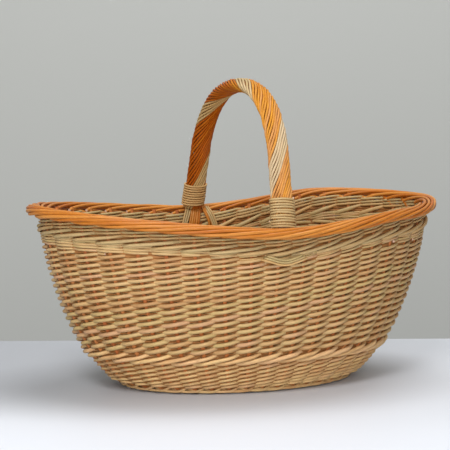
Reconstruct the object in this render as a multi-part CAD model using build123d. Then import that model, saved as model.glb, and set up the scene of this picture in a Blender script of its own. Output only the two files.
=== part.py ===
from build123d import *
import math
import os

# An oval willow basket with one fixed handle across its middle, for gathering mushrooms.
# It stands on the ground at z = 0 with its long side along X, and the origin is at the
# middle of its footprint. The weave itself is left out: each band of weaving is a pair of
# shells of its true shape, the strokes outside and inside the stakes, which run in between.

os.makedirs("parts", exist_ok=True)

# Overall form
basket_length = 480.0
basket_width = 320.0
handle_top_height = 338.2
rim_height = 179.0
rim_end_rise = 21.0
rim_lean = 2.5
rim_valley = 40.0

# Foot and wall
foot_length = 260.8
foot_width = 168.0
foot_lip = 2.0
wall_thickness = 12.0
weave_depth = 3.1
side_overhang = 14.0
end_overhang = 12.0
swell_power = 1.4
swell_root = 0.6

# Border
border_width = 20.0
border_thickness = 13.0

# Heights where one band of weaving ends and the next starts
foot_wale_height = 5.0
lower_wale_top = 34.0
upsett_top = 49.0
top_wale_height = 17.0
packing_height = 12.0
packing_start = 80.0

# Base
base_underside = 0.8
base_weave_depth = 2.8
short_stick_count = 8
short_stick_diameter = 8.0
short_stick_pitch = 14.0
long_stick_count = 3
long_stick_diameter = 5.0
long_stick_pitch = 9.0
stick_end_gap = 4.0

# Stakes
stake_count = 38
stake_diameter = 5.2
stake_base_run = 16.0
stake_phase_share = -0.29
# Heights of the points that a stake's path goes through, as shares of the wall's height
stake_height_shares = (0.042, 0.065, 0.1, 0.16, 0.26, 0.42, 0.62, 0.8, 0.92, 1.0)
stake_slope_share = 0.001

# Handle, whose arch is a crown arc between two shoulder arcs and two straight legs
bow_diameter = 8.0
crown_radius = 179.0
crown_half_angle = 13.8
shoulder_radius = 103.0
leg_angle = 73.5
bow_bend_radius = 70.0
bow_bend_height = 190.0
bow_wall_angle = 95.7
bow_wall_radius = 409.0
bow_wall_turn = 6.0
handle_lean = 1.2
wrap_width = 24.0
wrap_thickness = 16.0
wrap_seat = 2.2

# Bindings round the handle's legs
binding_rod_diameter = 2.4
binding_pitch = 2.95
near_binding_turns = 11
far_binding_turns = 10
binding_start = 1.6

# Tails of the handle's wrapping, which loop through the wall below the border
tail_rod_diameter = 2.6
tail_rod_count = 3
tail_rod_pitch = 3.3
tail_top_reach = 8.0
tail_shoulder_reach = 15.0
tail_wall_reach = 25.4
tail_wall_drop = 31.5
tail_loop_sag = 5.0
tail_bend_radius = 3.0
tail_fall_share = 0.667

# Fits
clearance = 0.3
overrun = 30.0
straight_share = 1e-9
quarter_share = 0.25
half_share = 0.5

# Sizes that follow
border_half_length = (basket_length - border_width) / 2
border_half_width = (basket_width - border_width) / 2
wall_half_length = basket_length / 2 - end_overhang
wall_half_width = basket_width / 2 - side_overhang
foot_half_length = foot_length / 2
foot_half_width = foot_width / 2
wall_side_height = rim_height - border_thickness / 2
wall_end_height = wall_side_height + rim_end_rise
wall_middle = wall_thickness / 2
stick_height = weave_depth + clearance + short_stick_diameter / 2
base_top_layer = stick_height + short_stick_diameter / 2 + clearance
core_radius = bow_diameter / 2
stake_radius = stake_diameter / 2
wrap_bottom = rim_height + border_thickness / 2 - wrap_seat


def swell(height_share):
    # How far the wall has spread from the foot's size to the top's, from 0 to 1
    left = max(0.0, 1.0 - max(0.0, height_share))
    return (1.0 - left**swell_power) ** swell_root


def half_length(height, depth):
    # Half the wall's length at a height, on the skin that lies this deep inside its outside
    share = (height - depth) / (wall_end_height - depth)
    return foot_half_length + (wall_half_length - depth - foot_half_length) * swell(share)


def half_width(height, depth):
    share = (height - depth) / (wall_side_height - depth)
    return foot_half_width + (wall_half_width - depth - foot_half_width) * swell(share)


def rim_rise(x):
    # Height of the border's centre: a saddle that climbs evenly from the handle to both ends
    spread = math.hypot(border_half_length, rim_valley) - rim_valley
    climb = (math.hypot(x, rim_valley) - rim_valley) / spread
    return rim_height + rim_end_rise * climb + rim_lean * x / border_half_length


def ring_angle(turn_share):
    # Angle on the wall's ellipse at an even share of its length, from the near handle leg
    steps = 720
    angles = [-math.pi / 2 + 2 * math.pi * step / steps for step in range(steps + 1)]
    lengths = [0.0]
    for first, last in zip(angles, angles[1:]):
        across = wall_half_length * (math.cos(last) - math.cos(first))
        along = wall_half_width * (math.sin(last) - math.sin(first))
        lengths.append(lengths[-1] + math.hypot(across, along))
    wanted = (turn_share % 1.0) * lengths[-1]
    for step in range(steps):
        if lengths[step + 1] >= wanted:
            part = (wanted - lengths[step]) / (lengths[step + 1] - lengths[step])
            return angles[step] + part * (angles[step + 1] - angles[step])
    return angles[-1]


def stake_angle(number):
    return ring_angle((number + stake_phase_share) / stake_count)


def gap_angle(turn_share):
    # The middle of the gap between two stakes that lies nearest to a share of the turn
    gap = round(turn_share * stake_count - stake_phase_share - half_share)
    return ring_angle((gap + half_share + stake_phase_share) / stake_count)


def foot_point(angle, inset, height):
    # A point inside the foot's edge, measured square to that edge, and the way out from it
    x = foot_half_length * math.cos(angle)
    y = foot_half_width * math.sin(angle)
    outward = Vector(math.cos(angle) / foot_half_length, math.sin(angle) / foot_half_width, 0)
    outward = outward.normalized()
    return Vector(x, y, height) - outward * inset, outward


def wall_point(angle, height, depth):
    x = half_length(height, depth) * math.cos(angle)
    y = half_width(height, depth) * math.sin(angle)
    return Vector(x, y, height)


def arc_between(first, first_way, last):
    chord = last - first
    slant = chord.normalized().dot(first_way)
    if slant > 1 - straight_share:
        return Line(first, last)
    half_angle = math.acos(slant)
    bulge = first_way - chord.normalized() * slant
    rise = chord.length / 2 * math.tan(half_angle / 2)
    return ThreePointArc(first, (first + last) / 2 + bulge.normalized() * rise, last)


def two_arcs(first, first_way, last, last_way):
    # A smooth rod between two points with a given heading at each
    gap = last - first
    spread = first_way + last_way
    bend = 2 * (1 - first_way.dot(last_way))
    if bend < straight_share:
        return [Line(first, last)]
    reach = gap.dot(spread)
    arm = (math.sqrt(reach**2 + bend * gap.dot(gap)) - reach) / bend
    joint = (first + last + (first_way - last_way) * arm) / 2
    joint_way = (last - last_way * arm - first - first_way * arm).normalized()
    return [arc_between(first, first_way, joint), arc_between(joint, joint_way, last)]


def arc_run(stops):
    # The edges of a smooth rod through stops that are each a point and a heading
    edges = []
    for (first, first_way), (last, last_way) in zip(stops, stops[1:]):
        edges += two_arcs(first, first_way, last, last_way)
    return edges


def wire_of(edges):
    return Wire([edge.edge() for edge in edges])


def round_tube(path, radius):
    section = Plane(origin=path @ 0, z_dir=path % 0) * Circle(radius)
    return sweep(section, path=path)


def save(node, *solids):
    shape = solids[0] if len(solids) == 1 else Compound(children=list(solids))
    export_step(shape, f"parts/{node}.step")


# Regions below a saddle line, used to cut the wall into bands
def below(height_at):
    reach = basket_length / 2 + overrun
    steps = 8
    stations = [reach * step / steps for step in range(-steps, steps + 1)]
    points = [(x, height_at(x)) for x in stations]
    top = Spline(*points)
    sides = Polyline(points[0], (-reach, -overrun), (reach, -overrun), points[-1])
    return extrude(Plane.XZ * make_face(top + sides), amount=basket_width, both=True)


def border_underside(x):
    return rim_rise(x) - border_thickness / 2


def wale_underside(x):
    return border_underside(x) - top_wale_height


def packing_underside(x):
    spread = math.hypot(border_half_length, rim_valley) - rim_valley
    return wale_underside(x) - packing_height * (math.hypot(x, rim_valley) - rim_valley) / spread


# Woven wall, as one shell that is cut into its bands further down
def wall_skin(depth):
    top = wall_end_height + rim_lean + border_thickness
    steps = 20
    sections = []
    for step in range(steps + 1):
        height = depth + (top - depth) * (step / steps) ** 2
        oval = Ellipse(half_length(height, depth), half_width(height, depth))
        sections.append(Plane.XY.offset(height) * oval)
    return loft(sections)


def weave_layer(depth):
    # One thin shell of weaving, open at the foot, which starts this deep inside the wall
    core = base_layer(-clearance, wall_thickness + weave_depth, foot_lip)
    return wall_skin(depth) - core - wall_skin(depth + weave_depth)


def base_layer(low, high, gap):
    oval = Ellipse(foot_half_length - gap, foot_half_width - gap)
    return Pos(0, 0, low) * extrude(oval, amount=high - low)


# Stakes, which start in the base, turn up at its edge and run up inside the wall
def stake_path(number):
    angle = stake_angle(number)
    start, outward = foot_point(angle, stake_base_run, wall_middle)
    edge = foot_point(angle, 0, wall_middle)[0]
    top = border_underside(wall_half_length * math.cos(angle)) - clearance
    slope_step = stake_slope_share * top
    stops = [(start, outward), (edge, outward)]
    for share in stake_height_shares:
        lower = wall_point(angle, share * top - slope_step, wall_middle)
        upper = wall_point(angle, share * top + slope_step, wall_middle)
        stops.append((wall_point(angle, share * top, wall_middle), (upper - lower).normalized()))
    return wire_of(arc_run(stops))


# Base sticks: the short ones are pierced, and the long ones run through them
def fanned_path(end_share, crossing, lengthwise):
    ends = []
    other_share = 2 * half_share - end_share if lengthwise else half_share - end_share
    for share in (end_share, other_share):
        ends.append(foot_point(gap_angle(share), stick_end_gap, stick_height))
    middle = Vector(0, crossing, stick_height) if lengthwise else Vector(crossing, 0, stick_height)
    along = Vector(1, 0, 0) if lengthwise else Vector(0, 1, 0)
    slath = (short_stick_count if lengthwise else long_stick_count) / 2
    slath *= short_stick_pitch if lengthwise else long_stick_pitch
    (first, first_out), (last, last_out) = ends
    if (last - first).dot(along) < 0:
        first, first_out, last, last_out = last, last_out, first, first_out
    stops = [(first, -first_out), (middle - along * slath, along)]
    stops += [(middle + along * slath, along), (last, last_out)]
    return wire_of(arc_run(stops))


# Handle bow, drawn on the Y Z plane from the crown down one leg
def arch_points(turn_end):
    crown = math.radians(crown_half_angle)
    y = crown_radius * math.sin(crown)
    z = handle_top_height - wrap_thickness / 2 - crown_radius * (1 - math.cos(crown))
    turn_end = math.radians(turn_end)
    across = y + shoulder_radius * (math.sin(turn_end) - math.sin(crown))
    down = z - shoulder_radius * (math.cos(crown) - math.cos(turn_end))
    return y, z, across, down


def leg_at(height):
    across, down = arch_points(leg_angle)[2:]
    return across + (down - height) / math.tan(math.radians(leg_angle)), height


def arch_edges(end_height):
    # From the near leg over the crown to the far leg, with straight legs to this height
    middle_angle = (crown_half_angle + leg_angle) / 2
    crown_y, crown_z, foot_y, foot_z = arch_points(leg_angle)
    half_y, half_z = arch_points(middle_angle)[2:]
    end_y, end_z = leg_at(end_height)
    top_z = handle_top_height - wrap_thickness / 2
    return [
        Line((0, -end_y, end_z), (0, -foot_y, foot_z)),
        ThreePointArc((0, -foot_y, foot_z), (0, -half_y, half_z), (0, -crown_y, crown_z)),
        ThreePointArc((0, -crown_y, crown_z), (0, 0, top_z), (0, crown_y, crown_z)),
        ThreePointArc((0, crown_y, crown_z), (0, half_y, half_z), (0, foot_y, foot_z)),
        Line((0, foot_y, foot_z), (0, end_y, end_z)),
    ]


def turn_from(y, z, heading, radius, turn):
    # The end of an arc that turns inwards while it runs down, headings in degrees below level
    start, end = math.radians(heading), math.radians(heading + turn)
    return y + radius * (math.sin(end) - math.sin(start)), z - radius * (math.cos(start) - math.cos(end))


def bow_wire():
    edges = arch_edges(bow_bend_height)
    y, z = leg_at(bow_bend_height)
    bend = bow_wall_angle - leg_angle
    stages = ((leg_angle, bow_bend_radius, bend), (bow_wall_angle, bow_wall_radius, bow_wall_turn))
    for heading, radius, turn in stages:
        half_y, half_z = turn_from(y, z, heading, radius, turn / 2)
        end_y, end_z = turn_from(y, z, heading, radius, turn)
        for side in (1, -1):
            corners = [(0, side * y, z), (0, side * half_y, half_z), (0, side * end_y, end_z)]
            edges.append(ThreePointArc(*corners))
        y, z = end_y, end_z
    return wire_of(edges)


lean = Pos(0, 0, rim_height) * Rot(0, handle_lean, 0) * Pos(0, 0, -rim_height)


def bow_solid(radius):
    return lean * round_tube(bow_wire(), radius)


def wrap_solid():
    # The wrapping's true outer shape: an oval sleeve round the bow, down to the border
    wire = wire_of(arch_edges(wrap_bottom))
    section = Plane(origin=wire @ 0, x_dir=(1, 0, 0), z_dir=wire % 0)
    sleeve = sweep(section * Ellipse(wrap_width / 2, wrap_thickness / 2), path=wire)
    return lean * sleeve - bow_solid(core_radius + clearance)


# Bindings: one unbroken rod wound round each leg, in quarter turns that are each two arcs
def binding_path(turns):
    across = wrap_width / 2 + 2 * clearance + binding_rod_diameter / 2
    deep = wrap_thickness / 2 + 2 * clearance + binding_rod_diameter / 2
    stops = []
    for quarter in range(4 * turns + 1):
        angle = quarter * math.pi / 2
        x, y = across * math.cos(angle), deep * math.sin(angle)
        way = Vector(-across * math.sin(angle), deep * math.cos(angle), binding_pitch / (2 * math.pi))
        stops.append((Vector(x, y, binding_pitch * quarter / 4), way.normalized()))
    first, first_way = stops[0]
    last, last_way = stops[-1]
    edges = [Line(first - first_way * binding_rod_diameter, first)]
    edges += arc_run(stops)
    edges.append(Line(last, last + last_way * binding_rod_diameter))
    return wire_of(edges)


def least_gap(wire, turns, diameter):
    # The least space between two turns, measured on points along the rod's middle
    per_turn = 48
    count = per_turn * turns
    points = [wire @ (step / count) for step in range(count + 1)]
    least = math.inf
    for first in range(count + 1):
        for second in range(first + per_turn // 2, min(count, first + 2 * per_turn) + 1):
            least = min(least, (points[first] - points[second]).length)
    return least - diameter


def binding_solid(turns, side):
    wire = binding_path(turns)
    gap = least_gap(wire, turns, binding_rod_diameter)
    print(f"binding of {turns} turns: least gap to itself {gap:.2f} mm")
    tube = round_tube(wire, binding_rod_diameter / 2)
    y, z = leg_at(wrap_bottom + binding_start)
    slope = math.radians(leg_angle)
    up = Vector(0, -side * math.cos(slope), math.sin(slope))
    return lean * (Plane(origin=(0, side * y, z), x_dir=(1, 0, 0), z_dir=up) * tube)


# Tails of the wrapping: down inside the border, out through the wall, and under the border
def tail_hole(number):
    offset = number * tail_rod_pitch
    return tail_wall_reach + offset, rim_height - tail_wall_drop + tail_loop_sag - offset * tail_fall_share


def side_reach(x, height, depth):
    # How far out the side wall lies at this place along the basket
    return half_width(height, depth) * math.sqrt(1 - (x / half_length(height, depth)) ** 2)


def tail_path(number, side):
    offset = number * tail_rod_pitch
    tail_radius = tail_rod_diameter / 2
    top_x = tail_top_reach + offset
    shoulder_x = tail_shoulder_reach + offset
    hole_x, hole_z = tail_hole(number)
    loop_z = hole_z - hole_x * tail_loop_sag / tail_wall_reach
    top = border_half_width - border_width / 2 - tail_radius - clearance
    shoulder = side_reach(shoulder_x, border_underside(0), wall_thickness) - tail_bend_radius
    inner = side_reach(hole_x, hole_z, wall_thickness) - tail_bend_radius
    outer = half_width(hole_z, 0) + tail_bend_radius
    half = [
        (top_x, top, wrap_bottom - tail_radius - clearance),
        (shoulder_x, shoulder, border_underside(0) + clearance),
        (hole_x, inner, hole_z),
        (hole_x, outer, hole_z),
    ]
    points = [(-x, side * y, z) for x, y, z in half]
    points.append((0, side * outer, loop_z))
    points += [(x, side * y, z) for x, y, z in reversed(half)]
    bend = tail_bend_radius
    radii = [bend, bend, bend, tail_wall_reach, bend, bend, bend]
    return FilletPolyline(*points, radius=radii)


def tail_solids(side):
    paths = [tail_path(number, side) for number in range(tail_rod_count)]
    return [round_tube(path, tail_rod_diameter / 2) for path in paths]


# Border, as a ring of upright oval sections, lofted in two halves
def border_section(angle):
    x = border_half_length * math.cos(angle)
    y = border_half_width * math.sin(angle)
    outward = Vector(math.cos(angle) / border_half_length, math.sin(angle) / border_half_width, 0)
    way = Vector(0, 0, 1).cross(outward)
    place = Plane(origin=(x, y, rim_rise(x)), x_dir=outward.normalized(), z_dir=way)
    return place * Ellipse(border_width / 2, border_thickness / 2)


def border_ring():
    count = 14
    halves = []
    for start in (0, 1):
        angles = [math.pi * (start + step / count) for step in range(count + 1)]
        halves.append(loft([border_section(angle) for angle in angles]))
    return halves[0] + halves[1]


# Rods and handle
stakes = [round_tube(stake_path(number), stake_radius) for number in range(stake_count)]
bow = bow_solid(core_radius)
bow_channel = bow_solid(core_radius + clearance)
near_tail = tail_solids(-1)
far_tail = tail_solids(1)

# Base, where the short sticks are pierced and the long ones run through them
long_paths = []
for number in range(long_stick_count):
    place = number - (long_stick_count - 1) / 2
    long_paths.append(fanned_path(quarter_share + place / stake_count, place * long_stick_pitch, True))
short_paths = []
for number in range(short_stick_count):
    place = number - (short_stick_count - 1) / 2
    short_paths.append(fanned_path(place / stake_count, place * short_stick_pitch, False))
long_rods = [round_tube(path, long_stick_diameter / 2) for path in long_paths]
piercings = []
for number in range(long_stick_count):
    place = number - (long_stick_count - 1) / 2
    length = short_stick_count * short_stick_pitch
    hole = Rot(0, 90, 0) * Cylinder(long_stick_diameter / 2 + clearance, length)
    piercings.append(Pos(0, place * long_stick_pitch, stick_height) * hole)
short_rods = [round_tube(path, short_stick_diameter / 2) - piercings for path in short_paths]
base_bottom = base_layer(base_underside, weave_depth, foot_lip)
base_top = base_layer(base_top_layer, base_top_layer + base_weave_depth, foot_lip)

# Wall bands, each an outer and an inner shell
reach = basket_length / 2 + overrun
outer_layer = weave_layer(0)
inner_layer = weave_layer(wall_thickness - weave_depth)


def level(low, high):
    return Pos(0, 0, (low + high) / 2) * Box(2 * reach, 2 * reach, high - low)


def band(region):
    return [outer_layer & region, inner_layer & region]


def cut_all(shells, tools):
    for tool in tools:
        shells = [shell - tool for shell in shells]
    return shells


def tail_holes():
    holes = []
    for side in (1, -1):
        for number in range(tail_rod_count):
            for way in (1, -1):
                x, z = tail_hole(number)
                hole = Rot(90, 0, 0) * Cylinder(tail_rod_diameter / 2 + clearance, 4 * wall_thickness)
                holes.append(Pos(way * x, side * wall_half_width, z) * hole)
    return holes


under_border = below(border_underside)
under_wale = below(wale_underside)
under_packing = below(packing_underside)
foot_wale = outer_layer & level(-overrun, foot_wale_height)
lower_wale = band(level(foot_wale_height, lower_wale_top))
upsett_wale = band(level(lower_wale_top, upsett_top))
top_wale = cut_all(band(under_border - under_wale), [bow_channel])
end_box = Box(reach, 2 * reach, 2 * basket_length)
packing_region = under_wale - under_packing
right_end = packing_region & (Pos(packing_start + reach / 2, 0, 0) * end_box)
left_end = packing_region & (Pos(-packing_start - reach / 2, 0, 0) * end_box)
right_packing = band(right_end)
left_packing = band(left_end)
randing_region = (under_wale & level(upsett_top, basket_length)) - right_end - left_end
side_randing = cut_all(band(randing_region), [bow_channel] + tail_holes())

for number, stake in enumerate(stakes, start=1):
    save(f"stake_{number:02d}", stake)
for number, rod in enumerate(long_rods, start=1):
    save(f"base_long_stick_{number}", rod)
save("base_short_sticks", *short_rods)
save("base_weave", base_bottom, base_top)
save("foot_wale", foot_wale)
save("lower_wale", *lower_wale)
save("upsett_wale", *upsett_wale)
save("side_randing", *side_randing)
save("left_packing", *left_packing)
save("right_packing", *right_packing)
save("top_wale", *top_wale)
save("rolled_border", border_ring() - bow_channel)
save("handle_bow", bow)
save("handle_wrapping", wrap_solid())
save("near_leg_binding", binding_solid(near_binding_turns, -1))
save("far_leg_binding", binding_solid(far_binding_turns, 1))
save("near_wrapping_tails", *near_tail)
save("far_wrapping_tails", *far_tail)
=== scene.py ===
import math
import random

import bpy
import numpy
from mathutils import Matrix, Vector


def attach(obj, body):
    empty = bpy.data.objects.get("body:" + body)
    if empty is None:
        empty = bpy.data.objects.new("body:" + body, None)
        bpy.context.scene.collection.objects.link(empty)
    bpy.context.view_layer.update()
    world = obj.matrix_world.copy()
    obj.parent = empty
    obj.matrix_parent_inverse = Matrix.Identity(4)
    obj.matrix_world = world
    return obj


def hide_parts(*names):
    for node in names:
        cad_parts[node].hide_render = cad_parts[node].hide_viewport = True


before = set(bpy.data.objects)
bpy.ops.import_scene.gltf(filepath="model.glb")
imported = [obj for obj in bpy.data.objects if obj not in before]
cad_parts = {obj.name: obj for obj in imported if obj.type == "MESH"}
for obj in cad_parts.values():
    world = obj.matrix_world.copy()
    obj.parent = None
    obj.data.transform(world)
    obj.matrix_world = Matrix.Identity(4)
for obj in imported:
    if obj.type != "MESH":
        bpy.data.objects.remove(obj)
mm = 0.001
random.seed(38)


def saveSize():
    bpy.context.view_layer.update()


saveSize()

# The basket's form, in millimetres, as in the CAD model
form = {
    "length": 480.0,
    "width": 320.0,
    "handleTop": 338.2,
    "rimHeight": 179.0,
    "rimEndRise": 21.0,
    "rimLean": 2.5,
    "rimValley": 40.0,
    "footHalfLength": 130.4,
    "footHalfWidth": 84.0,
    "wallHalfLength": 228.0,
    "wallHalfWidth": 146.0,
    "wallSideHeight": 172.5,
    "wallEndHeight": 193.5,
    "wallThickness": 12.0,
    "planHeight": 150.0,
    "waleDeep": 17.0,
    "packingDeep": 12.0,
    "borderWidth": 20.0,
    "borderHeight": 13.0,
    "swellPower": 1.4,
    "swellRoot": 0.6,
    "stakes": 38,
    "stakePhase": -0.29,
    "stakeRadius": 2.6,
}
# Where the photo's rim departs from an even one, in millimetres
faults = {
    "farRise": 5.0,
    "farPlace": 140.0,
    "farReach": 45.0,
    "nearDrop": 4.0,
    "nearPlace": 183.0,
    "nearReach": 34.0,
    "sideReach": 60.0,
    "endDrop": 4.5,
    "endPlace": 170.0,
    "endReach": 60.0,
}
borderHalfLength = (form["length"] - form["borderWidth"]) / 2
borderHalfWidth = (form["width"] - form["borderWidth"]) / 2
borderUnder = form["rimHeight"] - form["borderHeight"] / 2
wallMiddle = form["wallThickness"] / 2


def swell(share):
    left = 1 - numpy.clip(share, 0, 1)
    return (1 - left ** form["swellPower"]) ** form["swellRoot"]


def halfLength(height, depth):
    share = (height - depth) / (form["wallEndHeight"] - depth)
    return form["footHalfLength"] + (form["wallHalfLength"] - depth - form["footHalfLength"]) * swell(share)


def halfWidth(height, depth):
    share = (height - depth) / (form["wallSideHeight"] - depth)
    return form["footHalfWidth"] + (form["wallHalfWidth"] - depth - form["footHalfWidth"]) * swell(share)


def wallInside(height):
    return float(halfWidth(height, form["wallThickness"]))


def bell(x, place, reach):
    return numpy.exp(-(((x - place) / reach) ** 2))


def fadeIn(distance, reach):
    # From 0 at no distance to 1 at the reach and beyond
    return numpy.clip(distance / reach, 0, 1)


def rimClimb(x):
    valley = form["rimValley"]
    return (numpy.hypot(x, valley) - valley) / (math.hypot(borderHalfLength, valley) - valley)


def rimRise(x, y):
    # The rim rises to both ends. In the photo it also swells at the far right, and drops at the near right
    # and at the right end.
    side = faults["sideReach"]
    swollen = faults["farRise"] * bell(x, faults["farPlace"], faults["farReach"]) * fadeIn(y, side)
    dropped = faults["endDrop"] * fadeIn(x - faults["endPlace"], faults["endReach"]) ** 2
    sunk = faults["nearDrop"] * bell(x, faults["nearPlace"], faults["nearReach"]) * fadeIn(-y, side)
    even = form["rimHeight"] + form["rimEndRise"] * rimClimb(x) + form["rimLean"] * x / borderHalfLength
    return even + swollen - dropped - sunk


def waleUnderside(x, y):
    return rimRise(x, y) - form["borderHeight"] / 2 - form["waleDeep"]


def packingUnderside(x, y):
    return waleUnderside(x, y) - form["packingDeep"] * rimClimb(x)


ringParts = 1440
ringSteps = numpy.linspace(-math.pi / 2, 3 * math.pi / 2, ringParts + 1)
ringSpans = numpy.hypot(
    form["wallHalfLength"] * numpy.diff(numpy.cos(ringSteps)),
    form["wallHalfWidth"] * numpy.diff(numpy.sin(ringSteps)),
)
ringShares = numpy.concatenate([[0], numpy.cumsum(ringSpans)]) / ringSpans.sum()


def ringAngle(turn):
    # turn counts stakes round the basket, starting beside the near leg of the handle
    share = (numpy.asarray(turn, float) + form["stakePhase"]) / form["stakes"]
    whole = numpy.floor(share)
    return numpy.interp(share - whole, ringShares, ringSteps) + whole * 2 * math.pi


def onSkin(angle, height, depth):
    x = halfLength(height, depth) * numpy.cos(angle)
    y = halfWidth(height, depth) * numpy.sin(angle)
    return numpy.stack([x, y, height + 0 * x], axis=-1)


def wallPlan(turn):
    # x and y of the wall's middle a little below the rim
    return onSkin(ringAngle(turn), form["planHeight"], wallMiddle)[..., :2].T


def unit(vectors):
    return vectors / numpy.linalg.norm(vectors, axis=-1, keepdims=True)


# Short steps that find the wall's own directions, in radians and millimetres
feeler = {"angle": 0.01, "height": 0.4}


def onWall(turn, height, depth, tilt=0.8):
    # A point of the wall: turn in stakes, height on the line of the stakes, depth below the outside.
    # With less tilt a rod swings out level rather than square to the sloping wall.
    angle = ringAngle(turn)
    height = numpy.asarray(height, float)
    aside, above = feeler["angle"], feeler["height"]
    ahead = onSkin(angle + aside, height, wallMiddle) - onSkin(angle - aside, height, wallMiddle)
    upward = onSkin(angle, height + above, wallMiddle) - onSkin(angle, height - above, wallMiddle)
    square = unit(numpy.cross(ahead, upward))
    outward = unit(square * numpy.array([1.0, 1.0, tilt]))
    outward = outward / (outward * square).sum(axis=-1, keepdims=True)
    proud = wallMiddle - numpy.asarray(depth, float)
    return onSkin(angle, height, wallMiddle) + outward * proud[..., None]


def smooth(points, perSpan):
    # A smooth line through the points
    points = numpy.asarray(points, float)
    ends = numpy.concatenate([[2 * points[0] - points[1]], points, [2 * points[-1] - points[-2]]])
    share = numpy.linspace(0, 1, perSpan, endpoint=False)[:, None]
    line = []
    for a, b, c, d in zip(ends, ends[1:], ends[2:], ends[3:]):
        bend = (2 * a - 5 * b + 4 * c - d) * share**2 + (3 * b - a - 3 * c + d) * share**3
        line.append(b + ((c - a) * share + bend) / 2)
    return numpy.concatenate(line + [points[-1:]])


def wander(count, size, reach):
    # Slow random drift along a rod
    knots = [random.gauss(0, size) for knot in range(max(2, count // reach + 2))]
    places = numpy.linspace(0, len(knots) - 1, count)
    return numpy.interp(places, range(len(knots)), knots)


def varied(share):
    return random.uniform(1 - share, 1 + share)


# Rods: every rod is a round tube along its own line, thick at the butt and thin at the tip
def rodPiece(name, rods, materials, corners=8):
    curve = bpy.data.curves.new(name, "CURVE")
    curve.dimensions = "3D"
    curve.bevel_depth = mm
    curve.bevel_resolution = corners // 2 - 2
    curve.use_fill_caps = True
    for line, radius, tint in rods:
        spline = curve.splines.new("POLY")
        spline.points.add(len(line) - 1)
        places = numpy.ones((len(line), 4))
        places[:, :3] = numpy.asarray(line) * mm
        spline.points.foreach_set("co", places.ravel())
        spline.points.foreach_set("radius", numpy.broadcast_to(radius, len(line)).astype(float))
    draft = bpy.data.objects.new(name, curve)
    mesh = bpy.data.meshes.new_from_object(draft)
    bpy.data.objects.remove(draft)
    bpy.data.curves.remove(curve)
    mesh.name = name
    piece = bpy.data.objects.new(name, mesh)
    bpy.context.scene.collection.objects.link(piece)
    mesh.polygons.foreach_set("use_smooth", [len(face.vertices) == 4 for face in mesh.polygons])
    paintRods(mesh, rods, corners)
    for material in materials:
        mesh.materials.append(material)
    if len(materials) > 1:
        # The second material is for the cut ends
        mesh.polygons.foreach_set("material_index", [int(len(face.vertices) != 4) for face in mesh.polygons])
    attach(piece, "root")
    return piece


def paintRods(mesh, rods, corners):
    # Each rod's own straight frame, millimetres along it and across it, and its tint
    space = []
    tints = []
    around = numpy.arange(corners) * 2 * math.pi / corners
    for number, (line, radius, tint) in enumerate(rods):
        line = numpy.asarray(line)
        steps = numpy.linalg.norm(numpy.diff(line, axis=0), axis=1)
        along = numpy.concatenate([[0], numpy.cumsum(steps)]) + grain["rodStep"] * number
        wide = numpy.broadcast_to(radius, len(line))
        ring = numpy.empty((len(line), corners, 3))
        ring[:, :, 0] = along[:, None]
        ring[:, :, 1] = wide[:, None] * numpy.cos(around)
        ring[:, :, 2] = wide[:, None] * numpy.sin(around)
        space.append(ring.reshape(-1, 3))
        tints.append(numpy.repeat(numpy.broadcast_to(tint, len(line)), corners))
    # The mesh has the rods' end caps first, from the last rod to the first
    ends = [cap for rod in reversed(space) for cap in (rod[-corners:], rod[:corners])]
    space = ends + space
    tints = [numpy.full(2 * corners, rod[0]) for rod in reversed(tints)] + tints
    attribute = mesh.attributes.new("rodSpace", "FLOAT_VECTOR", "POINT")
    attribute.data.foreach_set("vector", numpy.concatenate(space).ravel())
    attribute = mesh.attributes.new("rodTint", "FLOAT", "POINT")
    attribute.data.foreach_set("value", numpy.concatenate(tints))


def newMaterial(name, shine):
    material = bpy.data.materials.new(name)
    material.use_nodes = True
    shader = material.node_tree.nodes["Principled BSDF"]
    shader.inputs["Specular IOR Level"].default_value = shine
    return material, material.node_tree, shader


def stretched(tree, source, span, result, kind="LINEAR"):
    # The span of the source's values, stretched to the result
    node = tree.nodes.new("ShaderNodeMapRange")
    node.interpolation_type = kind
    for socket, value in zip(("From Min", "From Max", "To Min", "To Max"), (*span, *result)):
        node.inputs[socket].default_value = value
    tree.links.new(source, node.inputs["Value"])
    return node.outputs["Result"]


def combined(tree, kind, first, second):
    node = tree.nodes.new("ShaderNodeMath")
    node.operation = kind
    tree.links.new(first, node.inputs[0])
    tree.links.new(second, node.inputs[1])
    return node.outputs["Value"]


def grainNoise(tree, source, look):
    stretch = tree.nodes.new("ShaderNodeMapping")
    stretch.inputs["Scale"].default_value = look["scale"]
    tree.links.new(source, stretch.inputs["Vector"])
    texture = tree.nodes.new("ShaderNodeTexNoise")
    texture.inputs["Scale"].default_value = 1.0
    texture.inputs["Detail"].default_value = look["detail"]
    texture.inputs["Distortion"].default_value = look["bend"]
    tree.links.new(stretch.outputs["Vector"], texture.inputs["Vector"])
    return texture.outputs["Fac"]


# Willow: fibres along the rod, slow changes of colour, and a colour of its own for each rod
grain = {
    "rodStep": 211.7,  # millimetres of grain between the starts of two rods
    "fibres": {"scale": (0.09, 1.7, 1.7), "detail": 4.0, "bend": 0.0},
    "drift": {"scale": (0.022, 0.12, 0.12), "detail": 2.0, "bend": 0.0},
    "patches": {"scale": (0.11, 0.5, 0.5), "detail": 3.0, "bend": 0.6},
    "span": (0.3, 0.7),
    "patchSpan": (0.52, 0.74),
    "driftTint": 0.16,
    "relief": 0.35,
    "reliefDepth": 0.0003,
}
# What a kind of willow has unless it says otherwise
plainLook = {
    "rough": (0.42, 0.62),
    "fibre": 0.16,
    "stain": 0.35,
    "stainColour": (0.30, 0.12, 0.035),
    "shine": 0.28,
}


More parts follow.
